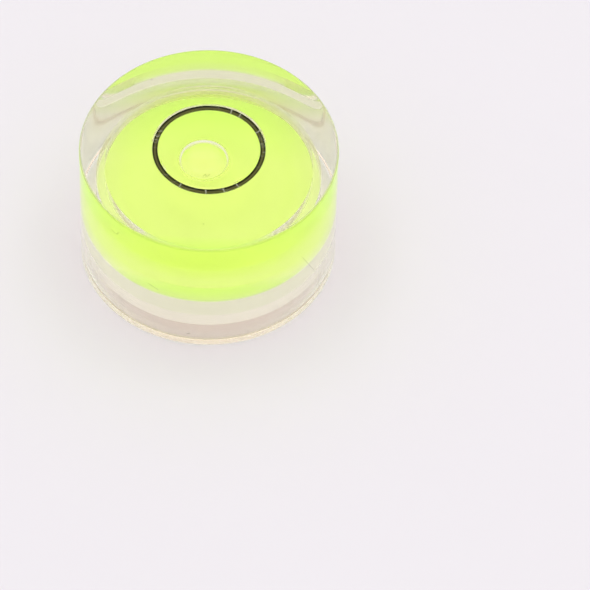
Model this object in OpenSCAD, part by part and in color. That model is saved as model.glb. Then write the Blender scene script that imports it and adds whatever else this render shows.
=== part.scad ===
// Round bullseye level: a clear moulded cup holds a tinted liquid with one gas bubble under a
// shallow dome. A plug pushed up a wider bore closes it from below, and liquid also fills the end
// of that bore above the plug. A painted ring in the top face is the target.
// Origin at the centre of the foot, +Z up through the dome.

/* [Body] */
// Outside diameter of the clear body
body_d = 14.0; // [12:0.1:30]
// Height of the body from the foot to the top face
body_h = 8.3; // [7.9:0.1:16]
// Break on the rim and on the foot's outer edge
edge_break = 0.12; // [0.04:0.02:0.5]

/* [Chamber] */
// Wall around the chamber, above the step
wall = 1.35; // [1.2:0.05:2]
// Thickness of the clear top over the chamber's edge
roof = 2.57; // [1.6:0.01:3]
// Rise of the dome from the chamber's edge to its crown
dome_rise = 0.14; // [0.05:0.01:0.8]
// Width of the step from the chamber out to the wider bore below it
step = 0.45; // [0.1:0.05:0.6]
// Depth of the wider bore, from the foot to the step
bore_deep = 4.5; // [3.8:0.1:5.2]

/* [Plug] */
// Thickness of the plug that closes the bore
plug_t = 2.15; // [1:0.05:3]
// How far the plug stands up inside the foot
foot_recess = 1.2; // [0.3:0.05:2]
// Break on the plug's edges and on the mouth of its bore
plug_break = 0.1; // [0.04:0.02:0.25]
// Film of glue between the plug and its bore
glue_film = 0.01; // [0.005:0.005:0.03]

/* [Target ring] */
// Outside diameter of the ring
ring_d = 6.1; // [4:0.1:8]
// Width of the ring's groove
ring_w = 0.28; // [0.16:0.02:0.6]
// Depth of the groove below the top face
groove_deep = 0.22; // [0.18:0.02:0.8]
// Bevel on both edges of the groove, above the paint
groove_break = 0.07; // [0.02:0.01:0.08]
// Dip of the paint's surface at the middle of the groove
paint_dip = 0.07; // [0.02:0.01:0.08]

/* [Bubble] */
// Diameter of the gas bubble
bubble_d = 2.84; // [2.2:0.02:3.4]
// Radius of the bubble's round side
bubble_side = 0.45; // [0.25:0.05:0.54]
// Rise of the bubble's top and of its belly above and below the round side
bubble_belly = 0.16; // [0.06:0.02:0.3]
// Height of the bubble's crown that the dome flattens away
bubble_flat = 0.12; // [0.05:0.01:0.3]
// Place of the bubble, sideways
bubble_x = -0.28; // [-0.8:0.01:0.8]
// Place of the bubble, front to back
bubble_y = 0.55; // [-0.8:0.01:0.8]

/* [Smoothness] */
// Segments in a full turn
turn_steps = 128; // [64:16:256]

/* [Hidden] */
body_r = body_d / 2;
chamber_r = body_r - wall;
bore_r = chamber_r + step;
plug_top = foot_recess + plug_t;
roof_z = body_h - roof;
crown_z = roof_z + dome_rise;
ring_r = ring_d / 2;
ring_inner_r = ring_r - ring_w;
groove_z = body_h - groove_deep;
paint_z = body_h - groove_break;
// Amount by which a cut runs past the face that it opens
past = 1;

// Radius of the circle through the end of a chord and the top of its arc
function arc_radius(half_chord, rise) = (half_chord * half_chord + rise * rise) / (2 * rise);

// Half of a disc from the axis outwards, with its outer edges broken
module broken_disc(radius, low, high, edge) {
    polygon([
        [0, low],
        [radius - edge, low],
        [radius, low + edge],
        [radius, high - edge],
        [radius - edge, high],
        [0, high]
    ]);
}

// Half section of the liquid: a chamber under a shallow spherical dome, and the end of the wider
// bore between the plug and the step
module chamber_profile() {
    dome_r = arc_radius(chamber_r, dome_rise);
    intersection() {
        translate([0, plug_top])
            square([chamber_r, crown_z - plug_top + past]);
        translate([0, crown_z - dome_r])
            circle(r = dome_r, $fn = 16 * turn_steps);
    }
    translate([0, plug_top])
        square([bore_r, bore_deep - plug_top]);
}

// Half section of the plug's bore below the liquid, open at the foot, with a broken mouth
module seat_profile() {
    polygon([
        [0, -past],
        [bore_r + plug_break + past, -past],
        [bore_r, plug_break],
        [bore_r, plug_top],
        [0, plug_top]
    ]);
}

// Half section of the ring's groove: upright walls below, then a mouth that widens at both bevels
module groove_profile() {
    polygon([
        [ring_inner_r, groove_z],
        [ring_r, groove_z],
        [ring_r, paint_z],
        [ring_r + groove_break + past, body_h + past],
        [ring_inner_r - groove_break - past, body_h + past],
        [ring_inner_r, paint_z]
    ]);
}

module body() {
    color([0.93, 0.94, 0.9, 0.35])
        rotate_extrude($fn = turn_steps)
            difference() {
                broken_disc(body_r, 0, body_h, edge_break);
                chamber_profile();
                seat_profile();
                groove_profile();
            }
}

module base_plug() {
    color([0.9, 0.89, 0.82])
        rotate_extrude($fn = turn_steps)
            broken_disc(bore_r - glue_film, foot_recess, plug_top, plug_break);
}

// Half section of the bubble: a round side between a top and a belly that are wider arcs, each
// tangent to it
module bubble_profile() {
    reach = bubble_d / 2 - bubble_side;
    far = (reach * reach - bubble_belly * bubble_belly) / (2 * bubble_belly);
    translate([reach, 0])
        circle(r = bubble_side, $fn = turn_steps);
    for (way = [-1, 1])
        intersection() {
            translate([0, -way * far])
                circle(r = far + bubble_belly + bubble_side, $fn = 8 * turn_steps);
            polygon([[0, 0], [reach, 0], [2 * reach, way * far], [0, way * far]]);
        }
}

// The bubble presses its crown flat against the dome
module bubble() {
    translate([bubble_x, bubble_y, crown_z + bubble_flat - bubble_belly - bubble_side])
        rotate_extrude($fn = turn_steps)
            bubble_profile();
}

module spirit() {
    color([0.75, 0.98, 0.2, 0.8])
        difference() {
            rotate_extrude($fn = turn_steps)
                chamber_profile();
            bubble();
        }
}

// Paint that fills the groove up to its bevels, with a surface that sinks between the walls
module target_ring() {
    meniscus_r = arc_radius(ring_w / 2, paint_dip);
    color([0.06, 0.06, 0.06])
        rotate_extrude($fn = turn_steps)
            difference() {
                translate([ring_inner_r, groove_z])
                    square([ring_w, paint_z - groove_z]);
                translate([ring_r - ring_w / 2, paint_z - paint_dip + meniscus_r])
                    circle(r = meniscus_r, $fn = turn_steps);
            }
}

body();
base_plug();
spirit();
target_ring();
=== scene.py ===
"""Dresses a small round bullseye level: clear moulded body, tinted liquid with one gas bubble,
off-white plug and painted target ring, on a plain pale floor under soft light.

Lengths are in millimetres and are turned into metres where a mesh, a node or the studio takes
them. Scales of noise are per metre.
"""

import logging
import math
from dataclasses import dataclass, field
from enum import IntEnum

import bpy
import numpy as np
from bpy.types import Material, Node, NodeSocket, NodeTree, Object
from mathutils import Matrix, Vector


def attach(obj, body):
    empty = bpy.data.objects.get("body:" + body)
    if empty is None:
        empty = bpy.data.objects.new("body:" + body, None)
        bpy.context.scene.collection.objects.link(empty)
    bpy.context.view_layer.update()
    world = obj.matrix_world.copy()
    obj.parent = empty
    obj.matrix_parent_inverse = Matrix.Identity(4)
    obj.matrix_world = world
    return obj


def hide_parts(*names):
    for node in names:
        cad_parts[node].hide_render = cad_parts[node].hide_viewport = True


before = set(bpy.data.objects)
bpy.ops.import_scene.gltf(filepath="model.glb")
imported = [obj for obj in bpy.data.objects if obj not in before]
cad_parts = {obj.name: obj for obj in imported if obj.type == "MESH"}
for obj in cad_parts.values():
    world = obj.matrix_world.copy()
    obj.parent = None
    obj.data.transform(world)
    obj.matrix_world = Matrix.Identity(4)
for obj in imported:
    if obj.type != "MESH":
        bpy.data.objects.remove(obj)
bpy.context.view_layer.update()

log = logging.getLogger("bullseye_level")

MM = 1e-3
# Width of the photograph in pixels, which the camera's focal length is given for.
IMAGE_SIDE = 590
BODY = "root"
# Straight run beside a rounded edge, which keeps the shading of the flat face next to it flat.
GUARD = 0.004
# Refraction of the clear body against air.
ACRYLIC = 1.49
# Refraction of a face that bends no light.
STRAIGHT = 1.0
# A corner nearer to the axis than this lies on it.
ON_AXIS = 1e-6
# Least squared length of a stroke, which a speck without length is given.
SPECK = 1e-12


class Skin(IntEnum):
    """Kinds of face on the clear body, in the order of its material slots."""

    POLISHED = 0
    WET = 1
    BONDED = 2
    PAINTED = 3
    FOOT = 4
    RECESS = 5
    SIDE = 6
    MOUTH = 7
    RIM = 8


@dataclass(frozen=True)
class LevelSizes:
    """Named sizes of the level in millimetres, as in the part's source.

    Two are for the looks alone: glue_low is the height where the glue starts on the plug's side,
    and skin_gap keeps two skins out of one plane.
    """

    body_r: float = 7.0
    body_h: float = 8.3
    edge_break: float = 0.12
    chamber_r: float = 5.65
    bore_r: float = 6.1
    bore_deep: float = 4.5
    roof_z: float = 5.73
    crown_z: float = 5.87
    foot_recess: float = 1.2
    glue_low: float = 2.1
    plug_top: float = 3.35
    plug_break: float = 0.1
    ring_r: float = 3.05
    ring_w: float = 0.28
    groove_deep: float = 0.22
    groove_break: float = 0.07
    paint_dip: float = 0.07
    bubble_r: float = 1.42
    bubble_side: float = 0.45
    bubble_belly: float = 0.16
    bubble_flat: float = 0.12
    bubble_x: float = -0.28
    bubble_y: float = 0.55
    skin_gap: float = 0.0005

    @property
    def ring_inner_r(self) -> float:
        """Radius of the groove's inner wall."""
        return self.ring_r - self.ring_w

    @property
    def paint_z(self) -> float:
        """Height of the paint where it meets the groove's walls, under the bevels."""
        return self.body_h - self.groove_break

    @property
    def dome_r(self) -> float:
        """Radius of the sphere that the dome is cut from."""
        rise = self.crown_z - self.roof_z
        return (self.chamber_r**2 + rise**2) / (2 * rise)

    def dome_z(self, radius: np.ndarray) -> np.ndarray:
        """Height of the dome at a distance from the axis: a sphere that peaks at the crown.

        Args:
            radius: distances from the axis.

        Returns:
            The height of the dome's surface at each distance.
        """
        return self.crown_z - self.dome_r + np.sqrt(self.dome_r**2 - np.square(radius))


SIZES = LevelSizes()


def arc(centre: tuple[float, float], radius: float, start: float, stop: float, count: int) -> np.ndarray:
    """Points on a circular arc: the centre plus the radius times cosine and sine of the angle.

    Args:
        centre: distance from the axis and height of the arc's centre.
        radius: radius of the arc.
        start: angle of the first point in degrees, 0 pointing away from the axis.
        stop: angle of the last point in degrees.
        count: number of points.

    Returns:
        An array with one row of radius and height for each point.
    """
    angle = np.radians(np.linspace(start, stop, count))
    return np.stack([centre[0] + radius * np.cos(angle), centre[1] + radius * np.sin(angle)], axis=-1)


@dataclass
class Outline:
    """A half section walked from the axis back to the axis, with the solid on its right."""

    points: list[tuple[float, float]] = field(default_factory=list)
    skins: list[int] = field(default_factory=list)

    def to(self, radius: float, height: float, skin: int = 0) -> "Outline":
        """Adds a straight run to a point.

        Args:
            radius: distance of the point from the axis.
            height: height of the point above the floor.
            skin: material slot of the face that the run sweeps.

        Returns:
            The outline itself, so that runs can be chained.
        """
        if self.points:
            self.skins.append(int(skin))
        self.points.append((float(radius), float(height)))
        return self

    def along(self, curve: np.ndarray, skin: int = 0) -> "Outline":
        """Adds straight runs through the points of a curve.

        Args:
            curve: array of points, radius and height in each row.
            skin: material slot of the faces that the runs sweep.

        Returns:
            The outline itself, so that runs can be chained.
        """
        for radius, height in curve:
            self.to(radius, height, skin)
        return self

    def rounded(
        self, centre: tuple[float, float], radius: float, start: float, stop: float, rows: int, skin: int = 0
    ) -> "Outline":
        """Adds a rounded edge, with a hair of straight run at both ends that keeps the flats flat.

        Args:
            centre: distance from the axis and height of the arc's centre.
            radius: radius of the edge.
            start: angle of the first point in degrees, 0 pointing away from the axis.
            stop: angle of the last point in degrees.
            rows: number of points on the arc.
            skin: material slot of the faces.

        Returns:
            The outline itself, so that runs can be chained.
        """
        curve = arc(centre, radius, start, stop, rows)
        ends = np.radians([start, stop])
        ahead = math.copysign(GUARD, stop - start) * np.stack([-np.sin(ends), np.cos(ends)], axis=-1)
        return self.along(np.concatenate([[curve[0] - ahead[0]], curve, [curve[-1] + ahead[1]]]), skin)


@dataclass
class Grid:
    """Corner places and faces of one shell, ready to become a mesh."""

    corners: np.ndarray
    loops: np.ndarray
    totals: np.ndarray
    skins: np.ndarray


def rings_of(section: np.ndarray, steps: int) -> np.ndarray:
    """Turns the points of a section about the axis: x = r cos t, y = r sin t, z = z.

    Args:
        section: radius and height of each point.
        steps: number of places around the axis.

    Returns:
        The places, by point, by step and by coordinate.
    """
    turn = np.linspace(0, 2 * math.pi, steps, endpoint=False)
    radius, height = section[:, :1], section[:, 1:]
    return np.stack(np.broadcast_arrays(radius * np.cos(turn), radius * np.sin(turn), height), axis=-1)


def quads_between(rings: np.ndarray, following: np.ndarray) -> np.ndarray:
    """Faces between each ring of corners and the one that follows it.

    Args:
        rings: corner numbers, with one row for each ring.
        following: corner numbers of the ring that follows each of them.

    Returns:
        An array with one row of four corner numbers for each face.
    """
    around = [rings, following, np.roll(following, -1, axis=1), np.roll(rings, -1, axis=1)]
    return np.stack(around, axis=-1).reshape(-1, 4)


def plain_grid(corners: np.ndarray, quads: np.ndarray) -> Grid:
    """A shell of four-cornered faces that all have the first skin.

    Args:
        corners: places of the corners.
        quads: four corner numbers for each face.

    Returns:
        The shell.
    """
    count = len(quads)
    return Grid(corners.reshape(-1, 3), quads.ravel(), np.full(count, 4), np.zeros(count, int))


def turned(outline: Outline, steps: int) -> Grid:
    """Turns an outline about the axis, with one corner at each pole.

    Args:
        outline: the half section to turn.
        steps: number of faces around the axis.

    Returns:
        A closed shell whose faces point away from the solid.
    """
    section = np.asarray(outline.points)
    pole = section[:, 0] < ON_AXIS
    corners = rings_of(section, steps)[~pole[:, None] | (np.arange(steps) == 0)]
    first = np.concatenate([[0], np.cumsum(np.where(pole, 1, steps))[:-1]])
    index = first[:, None] + np.where(pole[:, None], 0, np.arange(steps))
    quads = quads_between(index[:-1], index[1:])
    keep = np.ones((len(section) - 1, steps, 4), bool)
    keep[pole[:-1], :, 3] = False
    keep[pole[1:], :, 2] = False
    keep = keep.reshape(-1, 4)
    return Grid(corners, quads[keep], keep.sum(axis=1), np.repeat(outline.skins, steps))


def looped(loop: np.ndarray, steps: int) -> Grid:
    """Turns a closed loop about the axis into a ring.

    Args:
        loop: points of the loop, each once, clockwise seen with the axis on the left.
        steps: number of faces around the axis.

    Returns:
        A closed ring whose faces point out of it.
    """
    index = np.arange(len(loop) * steps).reshape(len(loop), steps)
    return plain_grid(rings_of(loop, steps), quads_between(index, np.roll(index, -1, axis=0)))


def piece_from(name: str, grids: list[Grid], materials: list[Material], sharp: float = 30.0) -> Object:
    """Makes one object from closed shells, in metres, with its place in its mesh.

    Args:
        name: name of the piece.
        grids: the shells that make it up.
        materials: its finishes, in the order of the shells' skin numbers.
        sharp: faces that meet at more than this angle, in degrees, keep a crisp edge.

    Returns:
        The object, linked to the scene.
    """
    offsets = np.cumsum([0] + [len(grid.corners) for grid in grids[:-1]])
    corners = np.concatenate([grid.corners for grid in grids]) * MM
    loops = np.concatenate([grid.loops + offset for grid, offset in zip(grids, offsets)])
    totals = np.concatenate([grid.totals for grid in grids])
    skins = np.concatenate([grid.skins for grid in grids])
    mesh = bpy.data.meshes.new(name)
    mesh.vertices.add(len(corners))
    mesh.vertices.foreach_set("co", corners.astype(np.float32).ravel())
    mesh.loops.add(len(loops))
    mesh.loops.foreach_set("vertex_index", loops.astype(np.int32))
    mesh.polygons.add(len(totals))
    starts = np.concatenate([[0], np.cumsum(totals)[:-1]])
    mesh.polygons.foreach_set("loop_start", starts.astype(np.int32))
    for material in materials:
        mesh.materials.append(material)
    mesh.polygons.foreach_set("material_index", skins.astype(np.int32))
    mesh.update(calc_edges=True)
    mesh.validate()
    mesh.shade_smooth()
    mesh.set_sharp_from_angle(angle=math.radians(sharp))
    piece = bpy.data.objects.new(name, mesh)
    bpy.context.scene.collection.objects.link(piece)
    return piece


class NodeCanvas:
    """Adds nodes to a tree and links them, left to right."""

    def __init__(self, tree: NodeTree) -> None:
        """Keeps the tree that is drawn on."""
        self.tree = tree

    def add(self, kind: str, inputs: dict | None = None, **settings: object) -> Node:
        """Adds a node, sets it up and feeds its inputs.

        Args:
            kind: the node's type name, without its common prefix.
            inputs: by name or number, a value to set or an output socket to link from.
            settings: properties of the node itself.

        Returns:
            The new node.
        """
        node = self.tree.nodes.new("ShaderNode" + kind)
        for key, value in settings.items():
            setattr(node, key, value)
        self.feed(node, inputs or {})
        return node

    def feed(self, node: Node, inputs: dict) -> None:
        """Sets or links inputs of a node.

        Args:
            node: the node to feed.
            inputs: by name or number, a value to set or an output socket to link from.
        """
        for key, value in inputs.items():
            if isinstance(value, NodeSocket):
                self.tree.links.new(value, node.inputs[key])
            else:
                node.inputs[key].default_value = value

    def maths(self, operation: str, *values: object, clamp: bool = False) -> NodeSocket:
        """One step of arithmetic.

        Args:
            operation: name of the operation.
            values: numbers or sockets, in order.
            clamp: whether the result stays between 0 and 1.

        Returns:
            The socket with the result.
        """
        node = self.add("Math", dict(enumerate(values)), operation=operation, use_clamp=clamp)
        return node.outputs[0]

    def raised(self, mask: NodeSocket, gain: float, base: float) -> NodeSocket:
        """A value that a mask raises: the base plus the gain times the mask.

        Args:
            mask: the mask, from 0 to 1.
            gain: what a full mask adds.
            base: the value where the mask is 0.

        Returns:
            The socket with the value.
        """
        return self.maths("ADD", self.maths("MULTIPLY", mask, gain), base)

    def dented(self, height: NodeSocket, strength: float, depth: float) -> NodeSocket:
        """A normal that leans as a height rises and falls.

        Args:
            height: the height, from 0 to 1.
            strength: how much of the lean shows.
            depth: the rise from height 0 to height 1.

        Returns:
            The socket with the normal.
        """
        relief = {"Height": height, "Strength": strength, "Distance": depth * MM}
        return self.add("Bump", relief).outputs[0]


def effect_group(
    name: str, inputs: dict[str, float], outputs: list[str]
) -> tuple[NodeTree, NodeCanvas, Node, Node]:
    """Starts a node group that takes a place and some values.

    Args:
        name: name of the group.
        inputs: names and usual values of its number inputs, after the place.
        outputs: names of its number outputs.

    Returns:
        The group, a canvas on it, and its input and output nodes.
    """
    group = bpy.data.node_groups.new(name, "ShaderNodeTree")
    group.interface.new_socket("Place", in_out="INPUT", socket_type="NodeSocketVector")
    for label, value in inputs.items():
        socket = group.interface.new_socket(label, in_out="INPUT", socket_type="NodeSocketFloat")
        socket.default_value = value
    for label in outputs:
        group.interface.new_socket(label, in_out="OUTPUT", socket_type="NodeSocketFloat")
    start, end = group.nodes.new("NodeGroupInput"), group.nodes.new("NodeGroupOutput")
    return group, NodeCanvas(group), start, end


def handling_marks_group() -> NodeTree:
    """Fine hairlines in three directions and sparse pin-prick dust, on places in metres.

    A hairline is where a noise, stretched along one direction, crosses its middle value. A
    second, wider noise breaks the lines up, so that few of them are long.

    Returns:
        A group with the inputs Place, Lines and Dust and the outputs Marks and Depth.
    """
    angles, tilt, shift = (0.35, 1.30, 2.45), 0.3, (3.1, 1.7)
    along, across = 110.0, 1400.0
    thinness, break_scale, break_from, break_gain = 160.0, 0.35, 0.57, 9.0
    dust_scale, dust_r, dust_gain = 1500.0, 0.07, 40.0
    patch_scale, patch_from, patch_gain = 700.0, 0.6, 12.0
    inputs, outputs = {"Lines": 0.3, "Dust": 0.2}, ["Marks", "Depth"]
    group, canvas, start, end = effect_group("handling_marks", inputs, outputs)
    place = start.outputs["Place"]
    total = None
    for number, angle in enumerate(angles):
        move, turn = (shift[0] * number, shift[1] * number, 0.0), (0.5 * angle, tilt, angle)
        lie = canvas.add("Mapping", {"Vector": place, "Location": move, "Rotation": turn})
        lie.inputs["Scale"].default_value = (along, across, across)
        noise = canvas.add("TexNoise", {"Vector": lie.outputs[0], "Scale": 1.0, "Detail": 1.0})
        off = canvas.maths("ABSOLUTE", canvas.maths("SUBTRACT", noise.outputs[0], 0.5))
        line = canvas.maths("SUBTRACT", 1.0, canvas.maths("MULTIPLY", off, thinness), clamp=True)
        where = canvas.add("TexNoise", {"Vector": lie.outputs[0], "Scale": break_scale, "Detail": 0.0})
        rise = canvas.maths("SUBTRACT", where.outputs[0], break_from)
        broken = canvas.maths("MULTIPLY", rise, break_gain, clamp=True)
        cut = canvas.maths("MULTIPLY", line, broken)
        total = cut if total is None else canvas.maths("MAXIMUM", total, cut)
    lines = canvas.maths("MULTIPLY", total, start.outputs["Lines"])
    cells = canvas.add("TexVoronoi", {"Vector": place, "Scale": dust_scale, "Randomness": 1.0})
    inside = canvas.maths("SUBTRACT", dust_r, cells.outputs["Distance"])
    dot = canvas.maths("MULTIPLY", inside, dust_gain, clamp=True)
    spread = canvas.add("TexNoise", {"Vector": place, "Scale": patch_scale, "Detail": 1.0})
    rise = canvas.maths("SUBTRACT", spread.outputs[0], patch_from)
    rare = canvas.maths("MULTIPLY", rise, patch_gain, clamp=True)
    dust = canvas.maths("MULTIPLY", canvas.maths("MULTIPLY", dot, rare), start.outputs["Dust"])
    marks = canvas.maths("MAXIMUM", lines, dust, clamp=True)
    canvas.feed(end, {"Marks": marks, "Depth": canvas.maths("SUBTRACT", 1.0, marks)})
    return group


def tone_drift_group() -> NodeTree:
    """Slow and fine changes of tone, from 0 to 1 about a middle of one half.

    Returns:
        A group with the inputs Place, Scale and Contrast and the output Tone.
    """
    finer, slow_share, fine_share = 9.0, 0.7, 0.3
    group, canvas, start, end = effect_group("tone_drift", {"Scale": 300.0, "Contrast": 1.0}, ["Tone"])
    place, scale = start.outputs["Place"], start.outputs["Scale"]
    slow = canvas.add("TexNoise", {"Vector": place, "Scale": scale, "Detail": 3.0})
    fine_scale = canvas.maths("MULTIPLY", scale, finer)
    fine = canvas.add("TexNoise", {"Vector": place, "Scale": fine_scale, "Detail": 2.0})
    broad = canvas.maths("MULTIPLY", slow.outputs[0], slow_share)
    mixed = canvas.maths("ADD", broad, canvas.maths("MULTIPLY", fine.outputs[0], fine_share))
    swing = canvas.maths("MULTIPLY", canvas.maths("SUBTRACT", mixed, 0.5), start.outputs["Contrast"])
    canvas.feed(end, {"Tone": canvas.maths("ADD", swing, 0.5, clamp=True)})
    return group


def reach_group() -> NodeTree:
    """How far a place lies from one bound to another, from 0 to 1: by height, radius or depth.

    Returns:
        A group with the inputs Place, From and To and the outputs Upright, Radial and Away.
    """
    group, canvas, start, end = effect_group("reach", {"From": 1.0, "To": 0.0}, ["Upright", "Radial", "Away"])
    split = canvas.add("SeparateXYZ", {"Vector": start.outputs["Place"]})
    across = canvas.add("CombineXYZ", {"X": split.outputs["X"], "Y": split.outputs["Y"]})
    radius = canvas.add("VectorMath", {0: across.outputs[0]}, operation="LENGTH")
    measures = {"Upright": split.outputs["Z"], "Radial": radius.outputs["Value"], "Away": split.outputs["Y"]}
    for label, value in measures.items():
        bounds = {"Value": value, "From Min": start.outputs["From"], "From Max": start.outputs["To"]}
        canvas.feed(end, {label: canvas.add("MapRange", bounds).outputs[0]})
    return group


@dataclass(frozen=True)
class Mark:
    """A speck or a hairline: a rounded stroke from one place to another, in millimetres."""

    start: tuple[float, float, float]
    stop: tuple[float, float, float]
    width: float


BODY_MARKS = (
    Mark((-3.28, 4.72, 8.30), (-3.28, 4.72, 8.30), 0.09),
    Mark((-0.12, -5.20, 8.30), (-0.12, -5.20, 8.30), 0.05),
    Mark((3.72, -5.76, 8.30), (3.77, -5.70, 8.30), 0.07),
    Mark((2.48, -6.55, 6.42), (2.48, -6.55, 6.42), 0.05),
    Mark((-0.90, -6.94, 0.92), (-0.80, -6.95, 0.96), 0.05),
    Mark((-3.02, -6.32, 4.44), (-2.52, -6.53, 4.21), 0.03),
    Mark((-5.04, -4.86, 7.17), (-4.76, -5.13, 7.10), 0.035),
    Mark((-4.76, -5.13, 7.10), (-4.65, -5.24, 7.40), 0.035),
    Mark((-5.59, 0.41, 8.30), (-6.38, -1.08, 8.30), 0.02),
    Mark((5.21, -4.68, 5.00), (5.55, -4.27, 3.90), 0.02),
    Mark((5.55, -4.27, 3.90), (5.87, -3.81, 2.80), 0.02),
    Mark((-0.22, -1.90, 8.30), (-0.13, -1.78, 8.30), 0.035),
    Mark((-0.13, -1.78, 8.30), (-0.08, -1.93, 8.30), 0.035),
    Mark((-0.02, -1.93, 8.30), (0.09, -1.80, 8.30), 0.035),
)
NICK_ANGLES = (67.3, 56.9, 27.2, -56.3, -72.4, -91.6, -120.5)


def nick(angle: float) -> Mark:
    """A worn stroke across the ring's paint, leaning a little.

    Args:
        angle: where it lies around the axis, in degrees.

    Returns:
        The mark.
    """
    inner, outer, lean, height, width = 2.80, 3.03, 0.6, 8.19, 0.05
    start, stop = math.radians(angle), math.radians(angle + lean)
    return Mark(
        (inner * math.cos(start), inner * math.sin(start), height),
        (outer * math.cos(stop), outer * math.sin(stop), height),
        width,
    )


RING_NICKS = tuple(nick(angle) for angle in NICK_ANGLES)


def placed_marks_group(name: str, strokes: tuple[Mark, ...]) -> NodeTree:
    """Marks at set places: 1 within half a stroke's width of its line, falling to 0 at its width.

    The nearest point of a line lies at its start plus its run, times the share of the run that the
    place reaches, held between 0 and 1.

    Args:
        name: name of the group.
        strokes: the marks.

    Returns:
        A group with the input Place and the output Marks.
    """
    group, canvas, start, end = effect_group(name, {}, ["Marks"])
    total = None
    for stroke in strokes:
        first = np.array(stroke.start) * MM
        run = np.array(stroke.stop) * MM - first
        per_run = run / max(float(run @ run), SPECK)
        off = canvas.add("VectorMath", {0: start.outputs["Place"], 1: tuple(first)}, operation="SUBTRACT")
        off = off.outputs["Vector"]
        reached = canvas.add("VectorMath", {0: off, 1: tuple(per_run)}, operation="DOT_PRODUCT")
        share = canvas.add("Clamp", {"Value": reached.outputs["Value"]})
        near = canvas.add("VectorMath", {0: tuple(run), "Scale": share.outputs[0]}, operation="SCALE")
        gap = canvas.add("VectorMath", {0: off, 1: near.outputs["Vector"]}, operation="DISTANCE")
        width = stroke.width * MM
        bounds = {"Value": gap.outputs["Value"], "From Min": width, "From Max": width / 2}
        mask = canvas.add("MapRange", bounds).outputs[0]
        total = mask if total is None else canvas.maths("MAXIMUM", total, mask)
    canvas.feed(end, {"Marks": total})
    return group


class Effects:
    """The shared effects, each built once."""

    def __init__(self) -> None:
        """Builds the groups."""
        self.marks = handling_marks_group()
        self.tone = tone_drift_group()
        self.reach = reach_group()
        self.body_marks = placed_marks_group("body_marks", BODY_MARKS)
        self.ring_nicks = placed_marks_group("ring_nicks", RING_NICKS)

    def drifted(self, canvas: NodeCanvas, place: NodeSocket, scale: float, contrast: float) -> NodeSocket:
        """Adds the tone drift to a finish.

        Args:
            canvas: where the node goes.
            place: the place on the piece.
            scale: fineness of the slow change.
            contrast: its swing.

        Returns:
            The socket with the tone.
        """
        clouds = {"Place": place, "Scale": scale, "Contrast": contrast}
        return canvas.add("Group", clouds, node_tree=self.tone).outputs["Tone"]

    def reached(
        self, canvas: NodeCanvas, place: NodeSocket, measure: str, start: float, stop: float
    ) -> NodeSocket:
        """Adds how far a place lies from one bound to another, from 0 to 1.

        Args:
            canvas: where the node goes.
            place: the place on the piece.
            measure: what is measured: Upright, Radial or Away.
            start: the bound that gives 0.
            stop: the bound that gives 1.

        Returns:
            The socket with the share.
        """
        bounds = {"Place": place, "From": start * MM, "To": stop * MM}
        return canvas.add("Group", bounds, node_tree=self.reach).outputs[measure]


def new_material(name: str) -> tuple[Material, NodeCanvas, Node]:
    """Starts a material with nodes.

    Args:
        name: name of the material.

    Returns:
        The material, a canvas on its tree and its main shader.
    """
    material = bpy.data.materials.new(name)
    material.use_nodes = True
    return material, NodeCanvas(material.node_tree), material.node_tree.nodes["Principled BSDF"]


def two_tones(canvas: NodeCanvas, factor: NodeSocket, low: object, high: object) -> NodeSocket:
    """Mixes two colours by a value.

    Args:
        canvas: where the nodes go.
        factor: 0 gives the first colour and 1 the second.
        low: first colour, as three numbers or a socket.
        high: second colour, in the same way.

    Returns:
        The socket with the mixed colour.
    """
    mix = canvas.add("Mix", {"Factor": factor}, data_type="RGBA")
    for socket, colour in zip((socket for socket in mix.inputs if socket.type == "RGBA"), (low, high)):
        if isinstance(colour, NodeSocket):
            canvas.tree.links.new(colour, socket)
        else:
            socket.default_value = (*colour, 1.0)
    return next(socket for socket in mix.outputs if socket.type == "RGBA")


@dataclass(frozen=True)
class ClearAcrylic:
    """Clear acrylic against the air, the liquid or the plug, told apart by refraction."""

    name: str
    ior: float
    low: tuple[float, float, float] = (0.975, 0.970, 0.925)
    high: tuple[float, float, float] = (0.995, 0.990, 0.955)
    lines: float = 0.0
    dust: float = 0.0
    satin: float = 0.0
    cloud_scale: float = 260.0
    cloud_contrast: float = 1.6
    mark_roughness: float = 0.35
    dent_strength: float = 0.35
    dent: float = 0.004
    mark_depth: float = 0.5
    mark_colour: tuple[float, float, float] = (0.10, 0.09, 0.05)

    def material(self, effects: Effects) -> Material:
        """Builds the finish: faint tone drift, and marks that lift the roughness and dent the face.

        Args:
            effects: the shared effects.

        Returns:
            The material.
        """
        material, canvas, shader = new_material(self.name)
        place = canvas.add("TexCoord").outputs["Object"]
        tone = effects.drifted(canvas, place, self.cloud_scale, self.cloud_contrast)
        colour = two_tones(canvas, tone, self.low, self.high)
        canvas.feed(shader, {"Transmission Weight": 1.0, "IOR": self.ior, "Roughness": self.satin})
        if self.lines or self.dust:
            placed = canvas.add("Group", {"Place": place}, node_tree=effects.body_marks)
            shade = canvas.maths("MULTIPLY", placed.outputs["Marks"], self.mark_depth)
            colour = two_tones(canvas, shade, colour, self.mark_colour)
            wear = {"Place": place, "Lines": self.lines, "Dust": self.dust}
            marks = canvas.add("Group", wear, node_tree=effects.marks)
            rough = canvas.raised(marks.outputs["Marks"], self.mark_roughness, self.satin)
            normal = canvas.dented(marks.outputs["Depth"], self.dent_strength, self.dent)
            canvas.feed(shader, {"Roughness": rough, "Normal": normal})
        canvas.feed(shader, {"Base Color": colour})
        return material


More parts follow.
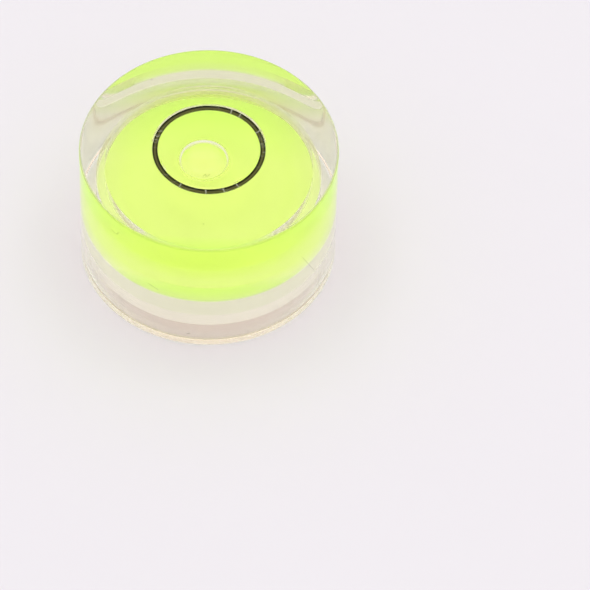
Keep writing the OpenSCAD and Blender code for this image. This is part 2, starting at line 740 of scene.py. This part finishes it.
@dataclass(frozen=True)
class FootAcrylic:
    """Satin-cut acrylic at the foot and in the recess, which the liquid's light reaches.

    On the foot, the colour is painted light from the liquid: it runs from the outer edge to the inner
    one, and from clear to green towards the far side, where the light leaves the wall. The recess has one
    colour.
    """

    name: str
    ior: float
    inner: float = 0.0
    outer: float = 0.0
    clear: tuple[float, float, float] = (0.86, 0.87, 0.80)
    warm: tuple[float, float, float] = (0.93, 0.93, 0.74)
    far_outer: tuple[float, float, float] = (0.67, 0.95, 0.24)
    far_inner: tuple[float, float, float] = (0.85, 1.0, 0.16)
    far_from: float = 4.8
    far_to: float = 6.3
    roughness: float = 0.22
    cloud_scale: float = 500.0
    cloud_contrast: float = 0.5
    cloud_roughness: float = 0.08

    def material(self, effects: Effects) -> Material:
        """Builds the finish: a soft clear face whose painted light leans to the liquid's colour.

        Args:
            effects: the shared effects.

        Returns:
            The material.
        """
        material, canvas, shader = new_material(self.name)
        place = canvas.add("TexCoord").outputs["Object"]
        tone = effects.drifted(canvas, place, self.cloud_scale, self.cloud_contrast)
        if self.inner:
            # Painted light: the foot leans warm towards the bore and green towards the far side, where the
            # liquid's light falls.
            inwards = effects.reached(canvas, place, "Radial", self.outer, self.inner)
            away = effects.reached(canvas, place, "Away", self.far_from, self.far_to)
            near_side = two_tones(canvas, inwards, self.clear, self.warm)
            far_side = two_tones(canvas, inwards, self.far_outer, self.far_inner)
            colour = two_tones(canvas, away, near_side, far_side)
        else:
            colour = (*self.clear, 1.0)
        rough = canvas.raised(tone, self.cloud_roughness, self.roughness)
        canvas.feed(shader, {"Base Color": colour, "Roughness": rough})
        canvas.feed(shader, {"Transmission Weight": 1.0, "IOR": self.ior})
        return material


@dataclass(frozen=True)
class TintedLiquid:
    """Yellow-green liquid: its colour comes from depth, and a painted glow stands in for its dye's
    fluorescence.
    """

    name: str
    ior: float
    tint: tuple[float, float, float] = (0.90, 1.0, 0.26)
    density: float = 295.0
    glow: tuple[float, float, float] = (0.30, 1.0, 0.10)
    glow_strength: float = 10.0

    def material(self) -> Material:
        """Builds the finish: a clear face around a volume that absorbs and glows.

        Returns:
            The material.
        """
        material, canvas, shader = new_material(self.name)
        canvas.feed(shader, {"Base Color": (1.0, 1.0, 1.0, 1.0), "Roughness": 0.0})
        canvas.feed(shader, {"Transmission Weight": 1.0, "IOR": self.ior})
        soak = canvas.add("VolumeAbsorption", {"Color": (*self.tint, 1.0), "Density": self.density})
        # Painted glow: green emission through the volume, which brightens the liquid beyond what it absorbs
        # and passes.
        shine = canvas.add("Emission", {"Color": (*self.glow, 1.0), "Strength": self.glow_strength})
        both = canvas.add("AddShader", {0: soak.outputs[0], 1: shine.outputs[0]})
        canvas.feed(material.node_tree.nodes["Material Output"], {"Volume": both.outputs[0]})
        return material


@dataclass(frozen=True)
class GasWall:
    """Where the liquid meets the bubble's gas: a painted glow, stronger where the dome presses it, dull at
    its side.
    """

    name: str
    ior: float
    trace: tuple[float, float, float] = (1.0, 0.30, 0.50)
    trace_strength: float = 0.03
    pressed_strength: float = 0.05
    pressed_r: float = 0.78
    fade: float = 0.06
    side_r: float = 1.2
    side_roughness: float = 0.16

    def material(self, effects: Effects) -> Material:
        """Builds the finish: a clear face, seen from the liquid, with a faint painted glow of warm light.

        Args:
            effects: the shared effects.

        Returns:
            The material.
        """
        material, canvas, shader = new_material(self.name)
        centre = (SIZES.bubble_x * MM, SIZES.bubble_y * MM, 0.0)
        place = canvas.add("TexCoord").outputs["Object"]
        place = canvas.add("VectorMath", {0: place, 1: centre}, operation="SUBTRACT").outputs["Vector"]
        # Painted glow: warm emission on the gas wall, stronger on the disc that the dome presses.
        middle = effects.reached(canvas, place, "Radial", self.pressed_r + self.fade, self.pressed_r)
        gain = self.pressed_strength - self.trace_strength
        painted_glow = canvas.raised(middle, gain, self.trace_strength)
        canvas.feed(shader, {"Emission Color": (*self.trace, 1.0), "Emission Strength": painted_glow})
        bounds = (self.side_r - self.fade, self.side_r + self.fade)
        side = effects.reached(canvas, place, "Radial", *bounds)
        rough = canvas.maths("MULTIPLY", side, self.side_roughness)
        canvas.feed(shader, {"Base Color": (1.0, 1.0, 1.0, 1.0), "Roughness": rough})
        canvas.feed(shader, {"Transmission Weight": 1.0, "IOR": self.ior})
        return material


@dataclass(frozen=True)
class PlugPlastic:
    """Off-white moulded plastic with a soft sheen and faint clouding."""

    name: str = "white_plug"
    low: tuple[float, float, float] = (0.865, 0.85, 0.79)
    high: tuple[float, float, float] = (0.95, 0.935, 0.88)
    green_light: tuple[float, float, float] = (0.77, 0.90, 0.46)
    far_green_light: tuple[float, float] = (1.5, 5.2)
    near_green_light: tuple[float, float] = (-3.7, -4.8)
    top_from: float = 0.1
    top_to: float = 0.02
    roughness: float = 0.5
    specular: float = 0.15
    cloud_scale: float = 340.0
    cloud_contrast: float = 1.4
    lines: float = 0.4
    dust: float = 0.5
    mark_roughness: float = 0.2
    dent_strength: float = 0.3
    dent: float = 0.005
    painted_glow_colour: tuple[float, float, float] = (1.0, 0.82, 0.62)
    side_strength: float = 0.06
    under_strength: float = 0.58
    under_from: float = 0.1
    under_to: float = 0.01
    under_edge: float = 5.9
    under_middle: float = 3.6

    def material(self, effects: Effects) -> Material:
        """Builds the finish: two tones, painted green light at both ends of the top, and fine marks.

        Painted green light, from the liquid, lies on the top near both ends of its run from front to back.
        A painted glow stands in for light from inside: faint on the side, stronger under the middle.

        Args:
            effects: the shared effects.

        Returns:
            The material.
        """
        material, canvas, shader = new_material(self.name)
        place = canvas.add("TexCoord").outputs["Object"]
        low, high = SIZES.foot_recess, SIZES.plug_top
        tone = effects.drifted(canvas, place, self.cloud_scale, self.cloud_contrast)
        plain = two_tones(canvas, tone, self.low, self.high)
        top = effects.reached(canvas, place, "Upright", high - self.top_from, high - self.top_to)
        # Painted green light: the top is tinted green towards its far and near ends, where the liquid's light
        # falls.
        green_lights = (self.far_green_light, self.near_green_light)
        ends = [effects.reached(canvas, place, "Away", *green_light) for green_light in green_lights]
        share = canvas.maths("MULTIPLY", canvas.maths("MAXIMUM", *ends), top)
        colour = two_tones(canvas, share, plain, self.green_light)
        wear = {"Place": place, "Lines": self.lines, "Dust": self.dust}
        marks = canvas.add("Group", wear, node_tree=effects.marks)
        rough = canvas.raised(marks.outputs["Marks"], self.mark_roughness, self.roughness)
        normal = canvas.dented(marks.outputs["Depth"], self.dent_strength, self.dent)
        canvas.feed(shader, {"Base Color": colour, "Roughness": rough, "Normal": normal})
        # Painted glow: the plug emits a warm light, faint on its side and strongest under its middle, which
        # lights the floor under it.
        under = effects.reached(canvas, place, "Upright", low + self.under_from, low + self.under_to)
        inwards = effects.reached(canvas, place, "Radial", self.under_edge, self.under_middle)
        middle = canvas.maths("MULTIPLY", under, inwards)
        painted_glow = canvas.raised(middle, self.under_strength - self.side_strength, self.side_strength)
        canvas.feed(shader, {"Emission Color": (*self.painted_glow_colour, 1.0), "Emission Strength": painted_glow})
        canvas.feed(shader, {"Specular IOR Level": self.specular})
        return material


@dataclass(frozen=True)
class RingPaint:
    """Black paint with a soft gloss, lighter along its middle and worn grey in a few nicks."""

    name: str = "ring_paint"
    dark: tuple[float, float, float] = (0.004, 0.004, 0.001)
    pale_middle: tuple[float, float, float] = (0.12, 0.115, 0.035)
    worn: tuple[float, float, float] = (0.45, 0.46, 0.36)
    middle: float = 2.91
    half_width: float = 0.11
    lines: float = 1.0
    dust: float = 1.0
    nick_depth: float = 0.8
    specular: float = 0.06
    roughness: float = 0.2
    cloud_scale: float = 900.0
    cloud_contrast: float = 1.0
    cloud_roughness: float = 0.25
    ripple_strength: float = 0.4
    ripple: float = 0.008

    def material(self, effects: Effects) -> Material:
        """Builds the finish: dark paint, with marks that show as lighter nicks.

        Args:
            effects: the shared effects.

        Returns:
            The material.
        """
        material, canvas, shader = new_material(self.name)
        place = canvas.add("TexCoord").outputs["Object"]
        wear = {"Place": place, "Lines": self.lines, "Dust": self.dust}
        marks = canvas.add("Group", wear, node_tree=effects.marks)
        # Lighter along the ring's middle, darker towards both walls.
        edges = (self.middle - self.half_width, self.middle + self.half_width)
        sides = [effects.reached(canvas, place, "Radial", edge, self.middle) for edge in edges]
        paint = two_tones(canvas, canvas.maths("MULTIPLY", *sides), self.dark, self.pale_middle)
        nicks = canvas.add("Group", {"Place": place}, node_tree=effects.ring_nicks)
        placed = canvas.maths("MULTIPLY", nicks.outputs["Marks"], self.nick_depth)
        worn = canvas.maths("MAXIMUM", marks.outputs["Marks"], placed)
        colour = two_tones(canvas, worn, paint, self.worn)
        tone = effects.drifted(canvas, place, self.cloud_scale, self.cloud_contrast)
        rough = canvas.raised(tone, self.cloud_roughness, self.roughness)
        normal = canvas.dented(tone, self.ripple_strength, self.ripple)
        canvas.feed(shader, {"Base Color": colour, "Roughness": rough, "Normal": normal})
        canvas.feed(shader, {"Specular IOR Level": self.specular})
        return material


@dataclass
class ClearBody:
    """The clear moulding: barrel, top with its groove, domed chamber, step, bore and foot."""

    sizes: LevelSizes
    steps: int = 1280
    dome_rows: int = 24
    edge_rows: int = 8

    def outline(self) -> Outline:
        """Half section from the middle of the top, around the outside and up the inside.

        Returns:
            The outline, with the skin of each run.
        """
        s = self.sizes
        groove_z = s.body_h - s.groove_deep
        line = Outline().to(0, s.body_h).to(s.ring_inner_r - s.groove_break, s.body_h, Skin.POLISHED)
        line.to(s.ring_inner_r, s.paint_z, Skin.POLISHED)
        line.to(s.ring_inner_r, groove_z, Skin.PAINTED).to(s.ring_r, groove_z, Skin.PAINTED)
        line.to(s.ring_r, s.paint_z, Skin.PAINTED)
        line.to(s.ring_r + s.groove_break, s.body_h, Skin.POLISHED)
        edge, mouth = s.edge_break, s.plug_break
        line.to(s.body_r - edge - 2 * GUARD, s.body_h, Skin.POLISHED)
        line.rounded((s.body_r - edge, s.body_h - edge), edge, 90, 0, self.edge_rows, Skin.RIM)
        line.rounded((s.body_r - edge, edge), edge, 0, -90, self.edge_rows, Skin.POLISHED)
        line.to(s.bore_r + mouth, 0, Skin.FOOT).to(s.bore_r, mouth, Skin.MOUTH)
        line.to(s.bore_r, s.glue_low, Skin.RECESS)
        line.to(s.bore_r, s.plug_top - s.plug_break, Skin.BONDED)
        line.to(s.bore_r, s.bore_deep, Skin.SIDE).to(s.chamber_r, s.bore_deep, Skin.SIDE)
        line.to(s.chamber_r, s.roof_z, Skin.SIDE)
        radius = np.linspace(s.chamber_r, 0, self.dome_rows)
        return line.along(np.stack([radius, s.dome_z(radius)], axis=-1)[1:], Skin.WET)

    def build(self, effects: Effects, liquid_ior: float, paint: Material) -> Object:
        """Makes the moulding and dresses it.

        Args:
            effects: the shared effects.
            liquid_ior: refraction of the liquid that the chamber holds.
            paint: finish of the groove, which the ring's paint fills.

        Returns:
            The piece.
        """
        s = self.sizes
        wet_ior = ACRYLIC / liquid_ior
        clear = ClearAcrylic("clear_acrylic", ACRYLIC, lines=0.10, dust=0.15)
        wet = ClearAcrylic("clear_acrylic_wet", wet_ior)
        bonded = ClearAcrylic("clear_acrylic_bonded", STRAIGHT)
        side = ClearAcrylic("clear_acrylic_wet_side", wet_ior, satin=0.09)
        # Painted light: the foot and the mouth are tinted warm towards the bore and green at the far side.
        foot = FootAcrylic("clear_acrylic_foot", ACRYLIC, inner=s.bore_r, outer=s.body_r)
        recess = FootAcrylic("clear_acrylic_recess", ACRYLIC, clear=(0.99, 0.955, 0.90))
        mouth = FootAcrylic("clear_acrylic_mouth", STRAIGHT, inner=s.bore_r, outer=s.body_r)
        # Painted shade: the rounded rim is tinted a darker olive green, which darkens the thin line along it.
        rim = ClearAcrylic(
            "clear_acrylic_rim", ACRYLIC, low=(0.68, 0.76, 0.54), high=(0.74, 0.82, 0.60), satin=0.05
        )
        skins = [finish.material(effects) for finish in (clear, wet, bonded)] + [paint]
        skins += [finish.material(effects) for finish in (foot, recess, side, mouth, rim)]
        piece = piece_from("body_moulding", [turned(self.outline(), self.steps)], skins)
        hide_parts("body")
        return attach(piece, BODY)


@dataclass
class BasePlug:
    """The off-white plug that closes the bore and is the bright ground of the liquid."""

    sizes: LevelSizes
    steps: int = 640
    edge_rows: int = 6

    def outline(self) -> Outline:
        """Half section of a disc with rounded edges, a hair inside its bore.

        Returns:
            The outline.
        """
        s = self.sizes
        radius = s.bore_r - s.skin_gap
        top = s.plug_top - s.skin_gap
        edge = s.plug_break
        line = Outline().to(0, top)
        line.rounded((radius - edge, top - edge), edge, 90, 0, self.edge_rows)
        line.rounded((radius - edge, s.foot_recess + edge), edge, 0, -90, self.edge_rows)
        return line.to(0, s.foot_recess)

    def build(self, effects: Effects) -> Object:
        """Makes the plug and dresses it.

        Args:
            effects: the shared effects.

        Returns:
            The piece.
        """
        finish = PlugPlastic().material(effects)
        piece = piece_from("plug_disc", [turned(self.outline(), self.steps)], [finish])
        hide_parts("base_plug")
        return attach(piece, BODY)


@dataclass
class Spirit:
    """The liquid that fills the chamber, with the gas bubble as a void under the dome."""

    sizes: LevelSizes
    ior: float = 1.41
    steps: int = 1280
    dome_rows: int = 24
    edge_rows: int = 6
    bubble_steps: int = 256
    bubble_rows: int = 28

    def chamber(self) -> Outline:
        """Half section of the liquid, a hair inside the chamber's walls and over the plug's edge.

        Returns:
            The outline.
        """
        s = self.sizes
        gap = s.skin_gap
        radius = np.linspace(0, s.chamber_r - gap, self.dome_rows)
        line = Outline().along(np.stack([radius, s.dome_z(radius) - gap], axis=-1))
        line.to(s.chamber_r - gap, s.bore_deep - gap).to(s.bore_r - gap, s.bore_deep - gap)
        edge = s.plug_break
        centre = (s.bore_r - gap - edge, s.plug_top + gap - edge)
        corner = arc(centre, edge, 0, 90, self.edge_rows)
        return line.along(corner).to(0, s.plug_top + gap)

    def bubble(self) -> Grid:
        """The void: an oval of two wide arcs and a round side, its crown pressed to the dome.

        Walked from the belly up, so that its faces point into the gas. A corner above the dome
        comes down to a thin film of liquid under it.

        Returns:
            The shell.
        """
        s = self.sizes
        reach = s.bubble_r - s.bubble_side
        far = (reach**2 - s.bubble_belly**2) / (2 * s.bubble_belly)
        wide = far + s.bubble_belly + s.bubble_side
        lean = math.degrees(math.atan2(reach, far))
        belly = arc((0, far), wide, -90, -90 + lean, self.bubble_rows)
        side = arc((reach, 0), s.bubble_side, -90 + lean, 90 - lean, 2 * self.bubble_rows)[1:]
        crown = arc((0, -far), wide, 90 - lean, 90, 2 * self.bubble_rows)[1:]
        middle = s.crown_z + s.bubble_flat - s.bubble_belly - s.bubble_side
        curve = np.concatenate([belly, side, crown]) + (0, middle)
        curve[[0, -1], 0] = 0
        grid = turned(Outline().along(curve, 1), self.bubble_steps)
        grid.corners[:, :2] += (s.bubble_x, s.bubble_y)
        reach_out = np.hypot(grid.corners[:, 0], grid.corners[:, 1])
        film = 3 * s.skin_gap
        grid.corners[:, 2] = np.minimum(grid.corners[:, 2], s.dome_z(reach_out) - film)
        return grid

    def build(self, effects: Effects) -> Object:
        """Makes the liquid and dresses it.

        Args:
            effects: the shared effects.

        Returns:
            The piece.
        """
        skin = TintedLiquid("tinted_liquid", STRAIGHT).material()
        gas_wall = GasWall("tinted_liquid_bubble", self.ior).material(effects)
        grids = [turned(self.chamber(), self.steps), self.bubble()]
        piece = piece_from("spirit_fill", grids, [skin, gas_wall])
        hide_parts("spirit")
        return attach(piece, BODY)


@dataclass
class TargetRing:
    """The paint in the groove of the top face, sunk between the groove's walls."""

    sizes: LevelSizes
    steps: int = 256
    rows: int = 12

    def build(self, paint: Material) -> Object:
        """Makes the ring: a closed loop of a sunk arc over a square channel, turned about the axis.

        Args:
            paint: the finish of the ring.

        Returns:
            The piece.
        """
        s = self.sizes
        gap = s.skin_gap
        half = s.ring_w / 2 - gap
        mid = s.ring_r - s.ring_w / 2
        curve_r = (half**2 + s.paint_dip**2) / (2 * s.paint_dip)
        lean = math.degrees(math.asin(half / curve_r))
        top = arc((mid, s.paint_z - s.paint_dip + curve_r), curve_r, -90 - lean, -90 + lean, self.rows)
        floor = s.body_h - s.groove_deep + gap
        loop = np.concatenate([top, [[mid + half, floor], [mid - half, floor]]])
        piece = piece_from("ring_fill", [looped(loop, self.steps)], [paint])
        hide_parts("target_ring")
        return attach(piece, BODY)


@dataclass
class Studio:
    """Pale floor, soft light and the camera. Angles are in degrees, the lamp's lean in radians."""

    floor_colour: tuple[float, float, float] = (0.745, 0.715, 0.745)
    floor_side: float = 3000.0
    floor_drop: float = 0.01
    floor_roughness: float = 0.6
    floor_specular: float = 0.2
    cloud_scale: float = 60.0
    cloud_contrast: float = 0.6
    cloud_swing: float = 0.015
    floor_cells: int = 8
    sky: float = 0.93
    sky_colour: tuple[float, float, float] = (1.0, 0.995, 1.0)
    lamp_watts: float = 0.4
    lamp_sides: tuple[float, float] = (350.0, 250.0)
    lamp_place: tuple[float, float, float] = (0.0, 20.0, 340.0)
    lamp_lean: float = -0.06
    clear_bounces: int = 32
    gloss_bounces: int = 12
    dull_bounces: int = 6
    elevation: float = 52.336
    roll: float = 1.684
    distance: float = 281.617
    aim: tuple[float, float] = (4.861, -3.379)
    focal_px: float = 5149.0
    sensor: float = 36.0
    near_clip: float = 10.0

    def floor(self, effects: Effects) -> Object:
        """Lays the floor: a wide sheet with a faint tone drift.

        Args:
            effects: the shared effects.

        Returns:
            The floor.
        """
        half = self.floor_side / 2
        count = self.floor_cells + 1
        edge = np.linspace(-half, half, count)
        across, along = np.meshgrid(edge, edge)
        corners = np.stack([across, along, np.full_like(across, -self.floor_drop)], axis=-1)
        index = np.arange(count**2).reshape(count, count)
        around = [index[:-1, :-1], index[:-1, 1:], index[1:, 1:], index[1:, :-1]]
        quads = np.stack(around, axis=-1).reshape(-1, 4)
        material, canvas, shader = new_material("pale_floor")
        place = canvas.add("TexCoord").outputs["Object"]
        tone = effects.drifted(canvas, place, self.cloud_scale, self.cloud_contrast)
        low = tuple((1 - self.cloud_swing) * value for value in self.floor_colour)
        high = tuple((1 + self.cloud_swing) * value for value in self.floor_colour)
        colour = two_tones(canvas, tone, low, high)
        canvas.feed(shader, {"Base Color": colour, "Roughness": self.floor_roughness})
        canvas.feed(shader, {"Specular IOR Level": self.floor_specular})
        sheet = piece_from("floor", [plain_grid(corners, quads)], [material])
        return sheet

    def light(self) -> None:
        """Sets an even pale surround and one broad soft lamp above the level."""
        world = bpy.data.worlds.new("soft_surround")
        bpy.context.scene.world = world
        world.use_nodes = True
        surround = world.node_tree.nodes["Background"]
        surround.inputs["Color"].default_value = (*self.sky_colour, 1.0)
        surround.inputs["Strength"].default_value = self.sky
        lamp = bpy.data.lights.new("soft_panel", "AREA")
        lamp.energy = self.lamp_watts
        lamp.shape = "RECTANGLE"
        lamp.size, lamp.size_y = (side * MM for side in self.lamp_sides)
        panel = bpy.data.objects.new("soft_panel", lamp)
        panel.location = Vector(self.lamp_place) * MM
        panel.rotation_euler = (self.lamp_lean, 0.0, 0.0)
        bpy.context.scene.collection.objects.link(panel)

    def camera(self) -> None:
        """Sets the camera: the view axis leans by the elevation, and the picture rolls slightly."""
        lean = math.radians(self.elevation)
        back = Vector((0.0, -math.cos(lean), math.sin(lean)))
        right = Vector((1.0, 0.0, 0.0))
        up = back.cross(right)
        turn = Matrix.Rotation(math.radians(self.roll), 3, back)
        right, up = turn @ right, turn @ up
        place = Vector((*self.aim, 0.0)) * MM + back * self.distance * MM
        data = bpy.data.cameras.new("camera")
        data.lens = self.focal_px * self.sensor / IMAGE_SIDE
        data.sensor_width = self.sensor
        data.clip_start = self.near_clip * MM
        camera = bpy.data.objects.new("camera", data)
        camera.matrix_world = Matrix((right, up, back)).transposed().to_4x4()
        camera.matrix_world.translation = place
        bpy.context.scene.collection.objects.link(camera)
        bpy.context.scene.camera = camera

    def rays(self) -> None:
        """Lets light cross the many clear faces, and keeps colours as they are."""
        scene = bpy.context.scene
        scene.cycles.max_bounces = self.clear_bounces
        scene.cycles.transmission_bounces = self.clear_bounces
        scene.cycles.glossy_bounces = self.gloss_bounces
        scene.cycles.diffuse_bounces = self.dull_bounces
        scene.cycles.blur_glossy = 0.0
        scene.cycles.sample_clamp_indirect = 0.0
        scene.view_settings.view_transform = "Standard"

    def build(self, effects: Effects) -> Object:
        """Sets up floor, light, camera and ray limits.

        Args:
            effects: the shared effects.

        Returns:
            The floor.
        """
        self.light()
        self.camera()
        self.rays()
        return self.floor(effects)


def report(piece: Object) -> None:
    """Logs a piece's name, number of faces and size."""
    size = ", ".join(f"{value / MM:.2f}" for value in piece.dimensions)
    log.info("%s: %d faces, %s mm", piece.name, len(piece.data.polygons), size)


def main() -> None:
    """Builds the level's pieces in order, then the studio around them."""
    effects = Effects()
    paint = RingPaint().material(effects)
    spirit = Spirit(SIZES)
    report(spirit.build(effects))
    report(BasePlug(SIZES).build(effects))
    report(ClearBody(SIZES).build(effects, spirit.ior, paint))
    report(TargetRing(SIZES).build(paint))
    report(Studio().build(effects))


if __name__ == "__main__":
    logging.basicConfig(level=logging.INFO, format="%(message)s")
    main()
